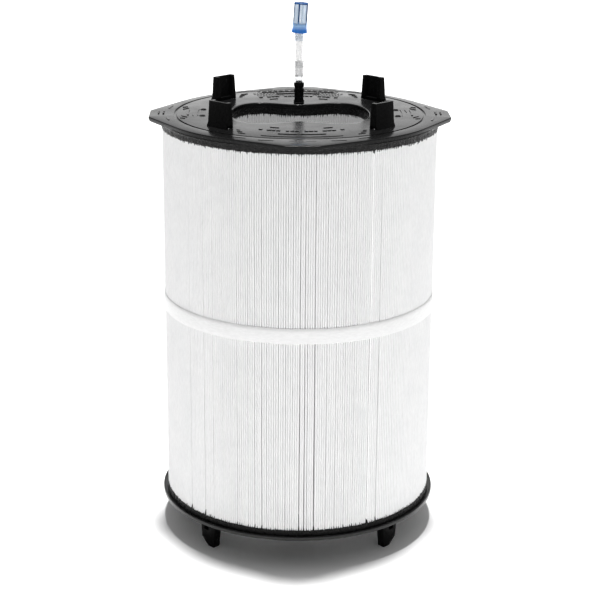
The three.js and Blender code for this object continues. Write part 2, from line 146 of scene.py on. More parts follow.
def by_arc(line, count, start=0.0):
    """count points spaced evenly along a closed line, and the normals there."""
    closed = np.vstack([line, line[:1]])
    steps = np.linalg.norm(np.diff(closed, axis=0), axis=1)
    length = np.concatenate([[0], np.cumsum(steps)])
    at = (np.arange(count) / count * length[-1] + start) % length[-1]
    points = np.column_stack([np.interp(at, length, closed[:, k]) for k in (0, 1)])
    turned = np.vstack([normals_of(line), normals_of(line)[:1]])
    directions = np.column_stack([np.interp(at, length, turned[:, k]) for k in (0, 1)])
    return points, directions / np.linalg.norm(directions, axis=1)[:, None]


def length_of(line):
    return float(np.linalg.norm(np.roll(line, -1, 0) - line, axis=1).sum())


HOLE = hole_line()
HOLE_NORMALS = normals_of(HOLE)


def radius_at(line, angles):
    """The distance of a closed line from the centre, in the given directions."""
    turn = np.arctan2(line[:, 1], line[:, 0])
    order = np.argsort(turn)
    reach = np.linalg.norm(line, axis=1)[order]
    return np.interp(angles, turn[order], reach, period=2 * math.pi)


def eared_radius(angles):
    """The top cap's edge: a circle with four flat-ended ears whose sides touch it as tangents."""
    corner = math.atan2(EAR_HALF_WIDTH, EAR_REACH)
    tangent = corner + math.acos(RIM_RADIUS / math.hypot(EAR_REACH, EAR_HALF_WIDTH))
    from_ear = np.abs((angles + math.pi / 4) % (math.pi / 2) - math.pi / 4)
    flat = EAR_REACH / np.cos(from_ear)
    side = RIM_RADIUS / np.cos(np.maximum(tangent - from_ear, 0))
    return -EAR_SOFTNESS * np.log(np.exp(-flat / EAR_SOFTNESS) + np.exp(-side / EAR_SOFTNESS))


def polar(radius, angle):
    return radius * math.cos(angle), radius * math.sin(angle)


def ring_angles(count):
    return np.arange(count) * 2 * math.pi / count


def ring(radius, z, angles):
    """Points round the axis at a radius, which may be one number or one for each angle."""
    wide = np.broadcast_to(radius, angles.shape)
    high = np.broadcast_to(z, angles.shape)
    return np.column_stack([wide * np.cos(angles), wide * np.sin(angles), high])


LEAST_ROUNDING = 0.02


def rounded(corners, radius=0.6, steps=3):
    """A closed profile with its corners rounded. A corner may bring a radius of its own."""
    points = [np.array(corner[:2], float) for corner in corners]
    radii = [corner[2] if len(corner) > 2 else radius for corner in corners]
    line = []
    for i, point in enumerate(points):
        before = points[i - 1] - point
        after = points[(i + 1) % len(points)] - point
        lengths = np.linalg.norm(before), np.linalg.norm(after)
        reach = min(radii[i], 0.48 * lengths[0], 0.48 * lengths[1])
        if reach < LEAST_ROUNDING:
            line.append(point)
            continue
        start = point + before / lengths[0] * reach
        end = point + after / lengths[1] * reach
        for t in np.linspace(0, 1, steps + 1):
            line.append((1 - t) ** 2 * start + 2 * t * (1 - t) * point + t * t * end)
    return line


# ---- Meshes ----


def loft(rings, closed=True):
    """Quads between rings of points, each ring closed on itself. closed joins the last to the first."""
    rings = np.asarray(rings, float)
    count, around = rings.shape[:2]
    index = np.arange(count * around).reshape(count, around)
    lower = index if closed else index[:-1]
    upper = np.roll(index, -1, 0) if closed else index[1:]
    quads = np.stack([lower, np.roll(lower, -1, 1), np.roll(upper, -1, 1), upper], axis=-1)
    return rings.reshape(-1, 3), quads.reshape(-1, 4)


def capped(rings):
    """A bar through open rings of points, closed by a face at each end."""
    points, faces = loft(rings, closed=False)
    count = len(rings[0])
    ends = [list(range(count)), list(range(len(points) - count, len(points)))]
    return points, faces.tolist() + ends


def lathe(profile, steps=72, centre=(0, 0)):
    """A closed profile of (radius, height) turned round an upright axis."""
    angles = ring_angles(steps)
    points, faces = loft([ring(radius, z, angles) for radius, z in profile])
    return points + (*centre, 0), faces


def pipe(inside, outside, low, high, bevel, centre=(0, 0)):
    corners = [(inside, low), (outside, low), (outside, high), (inside, high)]
    return lathe(rounded(corners, bevel), centre=centre)


def block(size, place, turn, bevel):
    """A box with bevelled edges, turned about its own upright axis."""
    shape = bmesh.new()
    bmesh.ops.create_cube(shape, size=1)
    bmesh.ops.scale(shape, vec=size, verts=shape.verts)
    bmesh.ops.bevel(shape, geom=shape.edges[:], offset=bevel, segments=2, profile=0.5,
                    affect="EDGES", clamp_overlap=True)
    matrix = Matrix.Translation(place) @ Matrix.Rotation(turn, 4, "Z")
    points = np.array([matrix @ vert.co for vert in shape.verts])
    shape.verts.index_update()
    faces = [[vert.index for vert in face.verts] for face in shape.faces]
    shape.free()
    return points, faces


def lattice(outside, inside, levels, is_open):
    """A wall of two skins with openings. outside and inside are closed lines in plan."""
    around, rows = len(outside), len(levels) - 1
    points = np.array([[(*p, z) for p in line] for line in (outside, inside) for z in levels])
    points = points.reshape(-1, 3)
    skin = (rows + 1) * around

    def at(side, row, column):
        return side * skin + row * around + column % around

    def solid(row, column):
        return 0 <= row < rows and not is_open(row, column % around)

    faces = []
    for row in range(rows):
        for column in range(around):
            if not solid(row, column):
                continue
            for side in (0, 1):
                faces.append([at(side, row, column), at(side, row, column + 1),
                              at(side, row + 1, column + 1), at(side, row + 1, column)])
            edges = [(row - 1, column, (row, column), (row, column + 1)),
                     (row + 1, column, (row + 1, column), (row + 1, column + 1)),
                     (row, column - 1, (row, column), (row + 1, column)),
                     (row, column + 1, (row, column + 1), (row + 1, column + 1))]
            for beside_row, beside_column, a, b in edges:
                if not solid(beside_row, beside_column):
                    faces.append([at(0, *a), at(0, *b), at(1, *b), at(1, *a)])
    return points, faces


def to_mesh(name, parts, matrix=None):
    """One mesh in metres from parts in millimetres, with loose points gone and faces pointing out."""
    shape = bmesh.new()
    for points, faces in parts:
        start = len(shape.verts)
        for point in points:
            shape.verts.new(point)
        shape.verts.ensure_lookup_table()
        verts = shape.verts
        for face in (faces.tolist() if hasattr(faces, "tolist") else faces):
            shape.faces.new([verts[start + i] for i in face])
    bmesh.ops.transform(shape, matrix=matrix or Matrix.Identity(4), verts=shape.verts)
    bmesh.ops.scale(shape, vec=(MM, MM, MM), verts=shape.verts)
    bmesh.ops.remove_doubles(shape, verts=shape.verts, dist=1e-7)
    bmesh.ops.delete(shape, geom=[v for v in shape.verts if not v.link_faces], context="VERTS")
    bmesh.ops.recalc_face_normals(shape, faces=shape.faces)
    mesh = bpy.data.meshes.new(name)
    shape.to_mesh(mesh)
    shape.free()
    return mesh


def cut_mesh(mesh, cutters):
    """The mesh with other meshes cut out of it."""
    whole = bpy.data.objects.new("cut_whole", mesh)
    bpy.context.collection.objects.link(whole)
    tools = []
    for cutter in cutters:
        tool = bpy.data.objects.new("cut_tool", cutter)
        bpy.context.collection.objects.link(tool)
        tools.append(tool)
        step = whole.modifiers.new("cut", "BOOLEAN")
        step.operation = "DIFFERENCE"
        step.solver = "EXACT"
        step.object = tool
    bpy.context.view_layer.update()
    done = bpy.data.meshes.new_from_object(whole.evaluated_get(bpy.context.evaluated_depsgraph_get()))
    for obj in [whole, *tools]:
        bpy.data.objects.remove(obj)
    return done


SHARP_EDGE = math.radians(20)
FLAT_JOINT = math.radians(1)


def refined(node, width):
    """A copy of a CAD node's mesh with every real edge rounded."""
    shape = bmesh.new()
    shape.from_mesh(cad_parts[node].data)
    bmesh.ops.remove_doubles(shape, verts=shape.verts, dist=1e-6)
    bmesh.ops.dissolve_limit(shape, angle_limit=FLAT_JOINT, verts=shape.verts, edges=shape.edges)
    sharp = [edge for edge in shape.edges
             if len(edge.link_faces) == 2 and edge.calc_face_angle() > SHARP_EDGE]
    bmesh.ops.bevel(shape, geom=sharp, offset=width * MM, segments=3, profile=0.5,
                    affect="EDGES", clamp_overlap=True)
    bmesh.ops.recalc_face_normals(shape, faces=shape.faces)
    mesh = bpy.data.meshes.new(node)
    shape.to_mesh(mesh)
    shape.free()
    return mesh


def add_piece(name, mesh, material, node, body="cartridge", sharp=38):
    """An object in place of a CAD node. Its edges stay crisp where they turn by more than sharp degrees."""
    obj = bpy.data.objects.new(name, mesh)
    bpy.context.collection.objects.link(obj)
    mesh.materials.clear()
    mesh.materials.append(material)
    mesh.shade_smooth()
    mesh.set_sharp_from_angle(angle=math.radians(sharp))
    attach(obj, body)
    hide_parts(node)
    return obj


# ---- Materials ----

# Heights in metres between which a colour changes.
# the media is painted darker going up between these heights: painted shade
MEDIA_PAINTED_SHADE = (0.1, 0.65)
HOSE_PAINTED_SHADE_ENDS = (0.7640, 0.7670)      # the lower end of the tube inside the hose; below it the hose is painted darker, as painted shade
BASE_PALES = (0.8435, 0.8515)
CAGE_DEEPENS = (0.8545, 0.8570)


def new_material(name, **settings):
    material = bpy.data.materials.new(name)
    material.use_nodes = True
    tree = material.node_tree
    shader = tree.nodes["Principled BSDF"]
    for socket, value in settings.items():
        shader.inputs[socket.replace("_", " ")].default_value = value
    return material, tree, shader


def noise_in(tree, scale, detail, stretch=(1, 1, 1), kind="ShaderNodeTexNoise", output=None):
    """A texture in the piece's own space. scale is in cycles per metre."""
    place = tree.nodes.new("ShaderNodeTexCoord")
    mapping = tree.nodes.new("ShaderNodeMapping")
    mapping.inputs["Scale"].default_value = stretch
    texture = tree.nodes.new(kind)
    texture.inputs["Scale"].default_value = scale
    if "Detail" in texture.inputs:
        texture.inputs["Detail"].default_value = detail
    tree.links.new(place.outputs["Object"], mapping.inputs["Vector"])
    tree.links.new(mapping.outputs["Vector"], texture.inputs["Vector"])
    return texture.outputs[output or 0]


def height_in(tree):
    """The height in metres above the frame's origin."""
    place = tree.nodes.new("ShaderNodeTexCoord")
    parts = tree.nodes.new("ShaderNodeSeparateXYZ")
    tree.links.new(place.outputs["Object"], parts.inputs["Vector"])
    return parts.outputs["Z"]


def ramp(tree, source, low, high, start=0.35, end=0.65):
    """source turned into a colour between low and high."""
    node = tree.nodes.new("ShaderNodeValToRGB")
    node.color_ramp.elements[0].position = start
    node.color_ramp.elements[1].position = end
    node.color_ramp.elements[0].color = (*low, 1)
    node.color_ramp.elements[1].color = (*high, 1)
    tree.links.new(source, node.inputs["Fac"])
    return node.outputs["Color"]


def spread(tree, source, low, high, start=0.3, end=0.7):
    """source turned into a number between low and high."""
    node = tree.nodes.new("ShaderNodeMapRange")
    node.inputs["From Min"].default_value = start
    node.inputs["From Max"].default_value = end
    node.inputs["To Min"].default_value = low
    node.inputs["To Max"].default_value = high
    tree.links.new(source, node.inputs["Value"])
    return node.outputs["Result"]


def multiplied(tree, first, second):
    """Two colours multiplied."""
    node = tree.nodes.new("ShaderNodeMix")
    node.data_type = "RGBA"
    node.blend_type = "MULTIPLY"
    node.inputs["Factor"].default_value = 1.0
    tree.links.new(first, node.inputs["A"])
    tree.links.new(second, node.inputs["B"])
    return node.outputs["Result"]


def dress(tree, shader, colour, roughness, layers):
    """Gives a material its colour, roughness and layers of bump, each a (source, height in mm)."""
    tree.links.new(colour, shader.inputs["Base Color"])
    tree.links.new(roughness, shader.inputs["Roughness"])
    normal = None
    for source, height in layers:
        node = tree.nodes.new("ShaderNodeBump")
        node.inputs["Distance"].default_value = height * MM
        tree.links.new(source, node.inputs["Height"])
        if normal:
            tree.links.new(normal, node.inputs["Normal"])
        normal = node.outputs["Normal"]
    tree.links.new(normal, shader.inputs["Normal"])


def moulded_black(name, gloss, low, high, grain=0.012, shine=0.12):
    """Injection-moulded black plastic: a fine grain, faint flow marks and dusty scuffs."""
    material, tree, shader = new_material(name, IOR=1.5, Specular_IOR_Level=shine)
    flow = noise_in(tree, 22, 5, (1, 1, 0.4))
    dust = noise_in(tree, 260, 6)
    colour = ramp(tree, dust, (low, low, low), (high, high, high * 1.04), 0.4, 0.75)
    layers = [(flow, 0.10), (noise_in(tree, 1500, 2), grain)]
    dress(tree, shader, colour, spread(tree, flow, *gloss), layers)
    return material


def cast_potting(name):
    """Poured black urethane that set in ripples and beads between the pleats."""
    material, tree, shader = new_material(name, IOR=1.5, Specular_IOR_Level=0.18)
    ripple = noise_in(tree, 200, 4)
    colour = ramp(tree, ripple, (0.001, 0.001, 0.001), (0.006, 0.006, 0.006))
    roughness = spread(tree, noise_in(tree, 90, 3), 0.16, 0.42)
    beads = noise_in(tree, 420, 1, kind="ShaderNodeTexVoronoi", output="Distance")
    dress(tree, shader, colour, roughness, [(ripple, 1.0), (beads, 0.8)])
    return material


def spunbond_media(name, low=0.79, high=0.86, painted_glow=0.0):
    """White spunbond polyester with painted shade that darkens it upwards: fibres that run up and down, and
    bond points. Any emission it is given is painted light.
    """
    material, tree, shader = new_material(name, IOR=1.4)
    shader.inputs["Sheen Weight"].default_value = 0.15
    shader.inputs["Emission Color"].default_value = (1, 1, 1, 1)
    # painted light: the sheet glows by this much
    shader.inputs["Emission Strength"].default_value = painted_glow
    fibres = noise_in(tree, 900, 4, (1, 1, 0.12))
    cloud = noise_in(tree, 35, 3)
    colour = ramp(tree, fibres, (low, low, low), (high, high, high))
    tint = multiplied(tree, colour, ramp(tree, cloud, (0.97, 0.972, 0.975), (1, 1, 1)))
    # painted shade: the media darkens towards the top
    painted_shade = ramp(tree, height_in(tree), (1, 1, 1), (0.915, 0.915, 0.915), *MEDIA_PAINTED_SHADE)
    points = noise_in(tree, 1100, 0, kind="ShaderNodeTexVoronoi", output="Distance")
    layers = [(fibres, 0.06), (points, 0.03)]
    dress(tree, shader, multiplied(tree, tint, painted_shade), spread(tree, fibres, 0.72, 0.95), layers)
    return material


def white_plastic(name, tone):
    """Slightly milky white polypropylene."""
    material, tree, shader = new_material(name, IOR=1.49, Subsurface_Weight=0.15)
    shader.inputs["Subsurface Radius"].default_value = (0.002, 0.002, 0.002)
    drawn = noise_in(tree, 120, 4, (1, 1, 3))
    colour = ramp(tree, drawn, (tone - 0.03,) * 3, (tone + 0.02,) * 3)
    layers = [(drawn, 0.08), (noise_in(tree, 1400, 2), 0.01)]
    dress(tree, shader, colour, spread(tree, drawn, 0.34, 0.5), layers)
    return material


def clear_plastic(name, tone, clear, empty=None):
    """Clear flexible tube with faint draw lines. A last tone, if given, is painted shade: the darker tone
    it takes where no tube stands inside it.
    """
    material, tree, shader = new_material(name, IOR=1.2, Transmission_Weight=clear)
    drawn = noise_in(tree, 800, 3, (1, 1, 0.05))
    # painted shade: darker below the lower end of the tube inside
    if empty:
        colour = ramp(tree, height_in(tree), empty, tone, *HOSE_PAINTED_SHADE_ENDS)
    else:
        colour = ramp(tree, drawn, [t - 0.02 for t in tone], tone)
    dress(tree, shader, colour, spread(tree, drawn, 0.08, 0.2), [(drawn, 0.03)])
    return material


def blue_plastic(name, below, above, change, clear, shine):
    """Tinted, see-through blue plastic that changes colour between two heights."""
    material, tree, shader = new_material(name, IOR=1.46, Specular_IOR_Level=shine,
                                          Transmission_Weight=clear)
    swirl = noise_in(tree, 160, 4)
    colour = ramp(tree, height_in(tree), below, above, *change)
    layers = [(swirl, 0.04), (noise_in(tree, 1800, 2), 0.01)]
    dress(tree, shader, colour, spread(tree, swirl, 0.10, 0.24), layers)
    return material


def rubber(name):
    """Black seal rubber with a fine grain."""
    material, tree, shader = new_material(name, IOR=1.5)
    grain = noise_in(tree, 1600, 3)
    colour = ramp(tree, grain, (0.012,) * 3, (0.022,) * 3)
    dress(tree, shader, colour, spread(tree, grain, 0.5, 0.7), [(grain, 0.03)])
    return material


def woven_screen(name):
    """Pale blue nylon wire."""
    material, tree, shader = new_material(name, IOR=1.5)
    grain = noise_in(tree, 900, 3)
    colour = ramp(tree, grain, (0.66, 0.81, 1.0), (0.82, 0.92, 1.0))
    dress(tree, shader, colour, spread(tree, grain, 0.45, 0.6), [(grain, 0.02)])
    return material


plate_black = moulded_black("black_plate", (0.17, 0.28), 0.004, 0.010)
post_black = moulded_black("black_posts", (0.20, 0.34), 0.003, 0.006, 0.02, 0.03)
ring_black = moulded_black("black_ring", (0.14, 0.26), 0.003, 0.007, 0.012, 0.25)
potting = cast_potting("black_potting")
media = spunbond_media("white_media")
inner_media_painted_light = spunbond_media("white_media_inner_painted_light", 0.86, 0.92, 0.07)  # painted light: lighter than the outer media and glowing, in place of the light inside the hole
band_white = white_plastic("white_band", 0.73)
core_white = white_plastic("white_core", 0.80)
seam_white = white_plastic("white_seam", 0.90)
# painted shade: the hose is darker where no tube stands inside it
hose_clear = clear_plastic("clear_hose", (0.985, 0.985, 0.99), 0.94, (0.80, 0.805, 0.81))
collar_clear = clear_plastic("clear_collar", (0.93, 0.935, 0.94), 0.88)
tube_clear = clear_plastic("clear_tube", (0.915, 0.915, 0.915), 0.79)
sleeve_clear = clear_plastic("clear_sleeve", (0.87, 0.91, 0.955), 0.87)
blue_base = blue_plastic("blue_base", (0.02, 0.19, 0.68), (0.40, 0.64, 0.97), BASE_PALES, 0.15, 0.2)
blue_cage = blue_plastic("blue_cage", (0.36, 0.60, 0.95), (0.01, 0.06, 0.19), CAGE_DEEPENS, 0.1, 0.02)
screen = woven_screen("screen_mesh")
seal = rubber("seal_rubber")


# ---- Top end cap ----

CAP_STEPS = 720
HOLE_AT = 100        # where the hole's edge and the outer edge stand in a cap's profile
RIM_AT = 230
NEAR_EDGE = 16       # a profile point this close to an edge follows that edge


def cap_rings(profile, rim_line, angles):
    """Rings for a cap: its profile follows the hole inside, circles between, and the rim outside."""
    rim_normals = normals_of(rim_line)
    rings = []
    for at, z in profile:
        if at < HOLE_AT + NEAR_EDGE:
            radius = radius_at(HOLE + HOLE_NORMALS * (at - HOLE_AT), angles)
        elif at > RIM_AT - NEAR_EDGE:
            radius = radius_at(rim_line + rim_normals * (at - RIM_AT), angles)
        else:
            radius = at
        rings.append(ring(radius, z, angles))
    return rings


MARK_SUNK = 0.5      # how deep each moulded mark stands in the plate
MARK_SOFT = 0.25     # rounding of its edges
FLUSH_ARCS = ((219, 0.06, 0.035, 3.0), (220, 0.26, 0.055, 3.4), (216, 0.47, 0.05, 2.6))


def mark_arc(radius, middle, half, width, height):
    turn = np.linspace(middle - half, middle + half, max(6, int(half * radius / 2)))
    low, high = TOP_FACE - MARK_SUNK, TOP_FACE + height
    side = width / 2
    section = rounded([(-side, low), (side, low), (side, high), (-side, high)], MARK_SOFT)
    return capped([[(*polar(radius + u, a), z) for u, z in section] for a in turn])


def mark_bar(radius, angle, long, wide, height, turn=0.0):
    place = (*polar(radius, angle), TOP_FACE + height / 2 - MARK_SUNK / 2)
    return block((long, wide, height + MARK_SUNK), place, angle + math.pi / 2 + turn, 0.2)


def mark_ring(radius, angle, size, wide=1.1, height=0.9):
    low, high = TOP_FACE - MARK_SUNK, TOP_FACE + height
    section = [(size - wide, low), (size, low), (size, high), (size - wide, high)]
    return lathe(rounded(section, MARK_SOFT), 40, polar(radius, angle))


def mark_dome(x, y):
    dome = [(3.2, -0.5), (3.2, 0.6), (2.6, 1.6), (1.4, 2.2), (0.01, 2.4)]
    points, faces = capped([ring(radius, TOP_FACE + z, ring_angles(24)) for radius, z in dome])
    return points + (x, y, 0), faces


def marks_by_the_waist(middle):
    """A curved row of bars and a few arcs, in front of the hole or behind it."""
    parts = []
    for k in range(-9, 10):
        if k % 4:
            parts.append(mark_bar(149, middle + k * 0.050, 5.0 + k % 3, 4.0 + k % 2, 1.0))
    parts += [mark_arc(173, middle, 0.22, 1.8, 1.1), mark_arc(192, middle, 0.34, 1.4, 0.8)]
    for k in (-1, 1):
        for n in range(3):
            parts.append(mark_bar(190 - 9 * n, middle + k * (0.52 + 0.05 * n), 13 - 3 * n, 1.4, 0.9))
        parts.append(mark_arc(128, middle + k * 0.34, 0.06, 1.4, 0.9))
        for radius, turn, half, width in FLUSH_ARCS:
            parts.append(mark_arc(radius, middle + k * turn, half, width, 0.0))
    return parts


def marks_in_rear_field(side):
    """Rows of low, small bars on one side of the fitting."""
    parts = []
    for row in range(5):
        for n in range(9):
            angle = math.pi / 2 + side * (0.17 + 0.032 * n + 0.008 * (row % 2))
            parts.append(mark_bar(158 + 7 * row, angle, 2.4 + (n * 7 + row * 5) % 3, 2.2, 0.3))
    for n in range(7):
        parts.append(mark_bar(200, math.pi / 2 + side * (0.05 + 0.05 * n), 6.0 + n % 3, 2.2, 0.35))
    return parts


def marks_by_an_ear(side):
    parts = []
    for k in (-1, 0, 1):
        parts += [
            mark_bar(226, side + k * 0.034, 5.0, 3.0, 0.9), mark_bar(234, side + k * 0.030, 4.0, 2.6, 0.5),
        ]
    parts += [
        mark_arc(186, side, 0.115, 3.4, 1.0), mark_arc(178, side + 0.09, 0.05, 1.4, 0.9),
        mark_arc(170, side, 0.15, 1.2, 0.9),
    ]
    for k in (-1, 1):
        parts += [
            mark_ring(163, side + k * 0.16, 5.0),
            mark_bar(193, side + k * 0.17, 15.0, 1.6, 0.9, k * 0.5),
            mark_bar(198, side + k * 0.24, 9.0, 1.6, 0.9, k * 0.9),
            mark_arc(222, side + k * 0.22, 0.05, 2.8, 0.2),
            mark_bar(150, side + k * 0.33, 9.0, 1.6, 0.9, -k * 0.6),
        ]
    return parts


def moulded_marks():
    """Plain raised bars, rings and arcs, such as a mould leaves. They say nothing."""
    return [
        *marks_by_the_waist(-math.pi / 2), *marks_by_the_waist(math.pi / 2),
        *marks_in_rear_field(-1), *marks_in_rear_field(1),
        mark_dome(-115, -137), mark_dome(115, -137),
        *marks_by_an_ear(0), *marks_by_an_ear(math.pi),
    ]


def top_cap():
    angles = ring_angles(CAP_STEPS)
    rim = ring(eared_radius(angles), 0, angles)[:, :2]
    half = ENGRAVED_WIDTH / 2
    groove_in, groove_out = ENGRAVED_RADIUS - half, ENGRAVED_RADIUS + half
    groove_floor = TOP_FACE - ENGRAVED_DEPTH
    profile = rounded([
        (HOLE_AT, TOP_START, 0.5), (HOLE_AT, TOP_FACE, 2.0),
        (HOLE_AT + 10, TOP_FACE, 0), (HOLE_AT + 15, TOP_FACE, 0), (150, TOP_FACE, 0),
        (groove_in, TOP_FACE, 0.3), (groove_in + 0.2, groove_floor, 0.3),
        (groove_out - 0.2, groove_floor, 0.3), (groove_out, TOP_FACE, 0.3),
        (RIM_AT - 10, TOP_FACE - 0.8, 0), (RIM_AT, TOP_FACE - 1.6, 1.6), (RIM_AT, TOP_START + 2.8, 0.5),
        (RIM_AT - 1.2, TOP_START + 2.2, 0.5), (RIM_AT - 1.2, TOP_START, 0.8),
        (170, TOP_START, 0), (HOLE_AT + 15, TOP_START, 0),
    ], steps=4)
    plate = loft(cap_rings(profile, rim, angles))
    mesh = to_mesh("top_cap", [plate, *moulded_marks()])
    add_piece("top_cap_plate", mesh, plate_black, "top_end_cap")


def bottom_cap():
    angles = ring_angles(CAP_STEPS)
    rim = ring(BOTTOM_RADIUS, 0, angles)[:, :2]
    profile = rounded([
        (HOLE_AT, BOTTOM_FACE, 1.4), (HOLE_AT, BOTTOM_TOP, 0.4),
        (HOLE_AT + 15, BOTTOM_TOP, 0), (170, BOTTOM_TOP, 0), (RIM_AT - 8, BOTTOM_TOP, 0),
        (RIM_AT - 3.4, BOTTOM_TOP, 0.2), (RIM_AT - 3.0, BOTTOM_TOP + 0.5, 0.3),
        (RIM_AT - 0.6, BOTTOM_TOP + 0.5, 0.9), (RIM_AT, BOTTOM_TOP - 1.4, 0.5), (RIM_AT, BOTTOM_FACE, 1.4),
        (RIM_AT - 9, BOTTOM_FACE, 0.3), (RIM_AT - 9.6, BOTTOM_FACE + 1.0, 0.3),
        (RIM_AT - 13, BOTTOM_FACE + 1.0, 0.3), (RIM_AT - 13.6, BOTTOM_FACE, 0.3),
        (160, BOTTOM_FACE, 0), (HOLE_AT + 15, BOTTOM_FACE, 0),
    ], steps=4)
    mesh = to_mesh("bottom_cap", [loft(cap_rings(profile, rim, angles))])
    cutters = []
    for side in ("front", "rear"):
        low, high = box_mm(f"outlet_seal_{side}")
        middle = (0, (low.y + high.y) / 2)
        radius, below, above = SPIGOT_RADIUS + 0.3, BOTTOM_FACE - 5, BOTTOM_TOP + 5
        bore = [(0, below), (radius, below), (radius, above), (0, above)]
        cutters.append(to_mesh("bore", [lathe(bore, centre=middle)]))
    mesh = cut_mesh(mesh, cutters)
    add_piece("bottom_cap_plate", mesh, ring_black, "bottom_end_cap")


top_cap()
bottom_cap()

# ---- Lugs and feet ----


def lugs_and_feet():
    for name in ("front_left", "front_right", "rear_right", "rear_left"):
        lug = refined(f"top_lug_{name}", 0.9)
        add_piece(f"lug_{name}", lug, post_black, f"top_lug_{name}")
        foot = refined(f"foot_{name}", 2.2)
        add_piece(f"stub_{name}", foot, post_black, f"foot_{name}")


lugs_and_feet()

# ---- Pleats ----

PLEAT_PITCH = 3.92
SHEET = 0.45               # thickness of the media
SEAM_ROOM = 2.9            # extra room left in the valley where the two ends of the media meet
EMBEDDED = 3.0             # how far the pleats run into the potting
PLEAT_ROWS = 14
MOST_SUNK = 0.6            # how far a fold may stand back from its neighbours
UNEVEN = 0.08              # how much the folds differ in width
OUTER_FOLD = (1.58, 0.85)  # half the width of an outer fold at its front and at its back
INNER_FOLD = (1.5, 1.3)
# Valleys that stand open: azimuth in degrees, width in millimetres, and how much of that width
# they keep at the top (1 all of it, 0 none). A width below 0.4 only darkens the fold.
OPEN_VALLEYS = [
    (-61.4, 1.0, 0.5), (-56.4, 2.0, 0.0), (-72.0, 0.3, 0.2), (-75.7, 0.7, 0.2), (-79.7, 0.5, 0.3),
    (-84.2, 1.9, 0.1), (-87.6, 0.6, 0.0), (-88.8, 1.25, 0.1), (-90.3, 1.4, 0.0), (-93.0, 0.3, 0.4),
    (-96.3, 0.4, 0.2), (-99.5, 0.15, 0.5), (-103.8, 0.15, 0.5), (-105.7, 1.25, 0.0), (-109.4, 0.7, 0.1),
    (-112.2, 0.5, 0.5), (-117.0, 0.4, 0.4), (-123.5, 0.6, 0.1), (-128.8, 0.9, 0.2), (-133.9, 1.7, 0.0),
    (-142.0, 2.0, 0.0), (-39, 0.4, 0.2), (4, 1.0, 0.5), (37, 0.6, 0.3), (58, 1.3, 0.4), (93, 0.7, 0.5),
    (121, 1.3, 0.2), (127, 0.6, 0.5), (166, 0.9, 0.3), (208, 0.6, 0.5),
]
INNER_VALLEYS = [
    (20, 0.5, 0.8), (62, 0.8, 0.9), (88, 0.6, 1.0), (101, 0.9, 0.7),
    (131, 0.6, 0.8), (200, 0.5, 1.0), (262, 0.8, 0.7), (300, 0.5, 0.9),
]


def wave(*place):
    """Smooth noise, the same on every run."""
    return noise.noise(Vector(place))


class Pleats:
    """A run of pleats round a closed line. out is 1 where the side that shows faces outwards."""

    def __init__(self, points, normals, azimuths, front, back, fold, out, seed):
        self.points, self.normals = points, normals
        self.tangents = np.column_stack([-normals[:, 1], normals[:, 0]])
        self.azimuths = azimuths
        self.front, self.back = front, back
        self.half_front, self.half_back = fold
        self.out, self.seed = out, seed
        count = len(points)
        self.sunk = np.array([MOST_SUNK * max(0.0, wave(i * 1.7, 3.1, seed)) for i in range(count)])
        self.width = np.array([UNEVEN * wave(i * 1.3, 9.7, seed) for i in range(count)])

    def drift(self, z, valleys):
        """How far each fold leans sideways at a height."""
        count = len(self.points)
        lean = np.array([
            0.75 * wave(i * 0.09, z * 0.0045, self.seed) + 0.20 * wave(i * 0.8, z * 0.006, self.seed + 5)
            for i in range(count)
        ])
        share = min(1.0, max(0.0, (z - MEDIA_START) / (MEDIA_END - MEDIA_START)))
        for number, (azimuth, width, kept) in enumerate(valleys):
            away = (self.azimuths - math.radians(azimuth) + math.pi) % (2 * math.pi) - math.pi
            steps = away * count / (2 * math.pi)
            swell = 1 + (kept - 1) * share**1.5 + 0.35 * wave(z * 0.006, number * 3.3, self.seed)
            lean += width * swell * np.sign(steps) * np.exp(-np.abs(steps) / 3.0) * 0.5
        return lean

    def section(self, z, valleys):
        """The media's centre line at a height, as points in plan."""
        lean = self.drift(z, valleys)
        deep = abs(self.back - self.front)
        half_fold = [(-1, deep), (-1, 6), (-1, 1.5), (-0.62, 0.35)]
        shape = [*half_fold, (0, 0), *[(-side, depth) for side, depth in reversed(half_fold)]]
        line = np.empty((len(self.points), len(shape), 2))
        for k, (side, depth) in enumerate(shape):
            share = min(1.0, depth / deep)
            half = (1 - share) * (self.half_front + self.width) + share * self.half_back
            lean_here = lean * (1 - 0.7 * share)
            inwards = -self.out * (depth + self.sunk * (1 - share))
            offset = self.front + inwards
            line[:, k] = (self.points + self.normals * np.reshape(offset, (-1, 1))
                          + self.tangents * np.reshape(side * half + lean_here, (-1, 1)))
        return line.reshape(-1, 2)

    def sheet(self, low, high, valleys):
        """The folded sheet between two heights, with its thickness."""
        outer, inner = [], []
        for z in np.linspace(low, high, PLEAT_ROWS):
            line = self.section(z, valleys)
            across = normals_of(line) * SHEET / 2
            level = np.full((len(line), 1), z)
            outer.append(np.hstack([line + across, level]))
            inner.append(np.hstack([line - across, level]))
        return loft(outer + inner[::-1])


def outer_pleats():
    run = 2 * math.pi * MEDIA_RADIUS - SEAM_ROOM
    count = round(run / PLEAT_PITCH)
    step = run / count / MEDIA_RADIUS
    azimuths = SEAM_AZIMUTH + SEAM_ROOM / 2 / MEDIA_RADIUS + (np.arange(count) + 0.5) * step
    azimuths = (azimuths + math.pi) % (2 * math.pi) - math.pi
    normals = np.column_stack([np.cos(azimuths), np.sin(azimuths)])
    back = CORE_RADIUS + 1 + SHEET - MEDIA_RADIUS
    return Pleats(normals * MEDIA_RADIUS, normals, azimuths, -SHEET / 2, back, OUTER_FOLD, 1, 2.0)


def inner_pleats():
    count = round(length_of(HOLE) / PLEAT_PITCH)
    points, normals = by_arc(HOLE, count, PLEAT_PITCH / 2)
    azimuths = np.arctan2(points[:, 1], points[:, 0])
    back = INNER_PLEAT_END - SHEET
    return Pleats(points, normals, azimuths, 1 + SHEET / 2, back, INNER_FOLD, -1, 6.0)


outer_run = outer_pleats()
inner_run = inner_pleats()


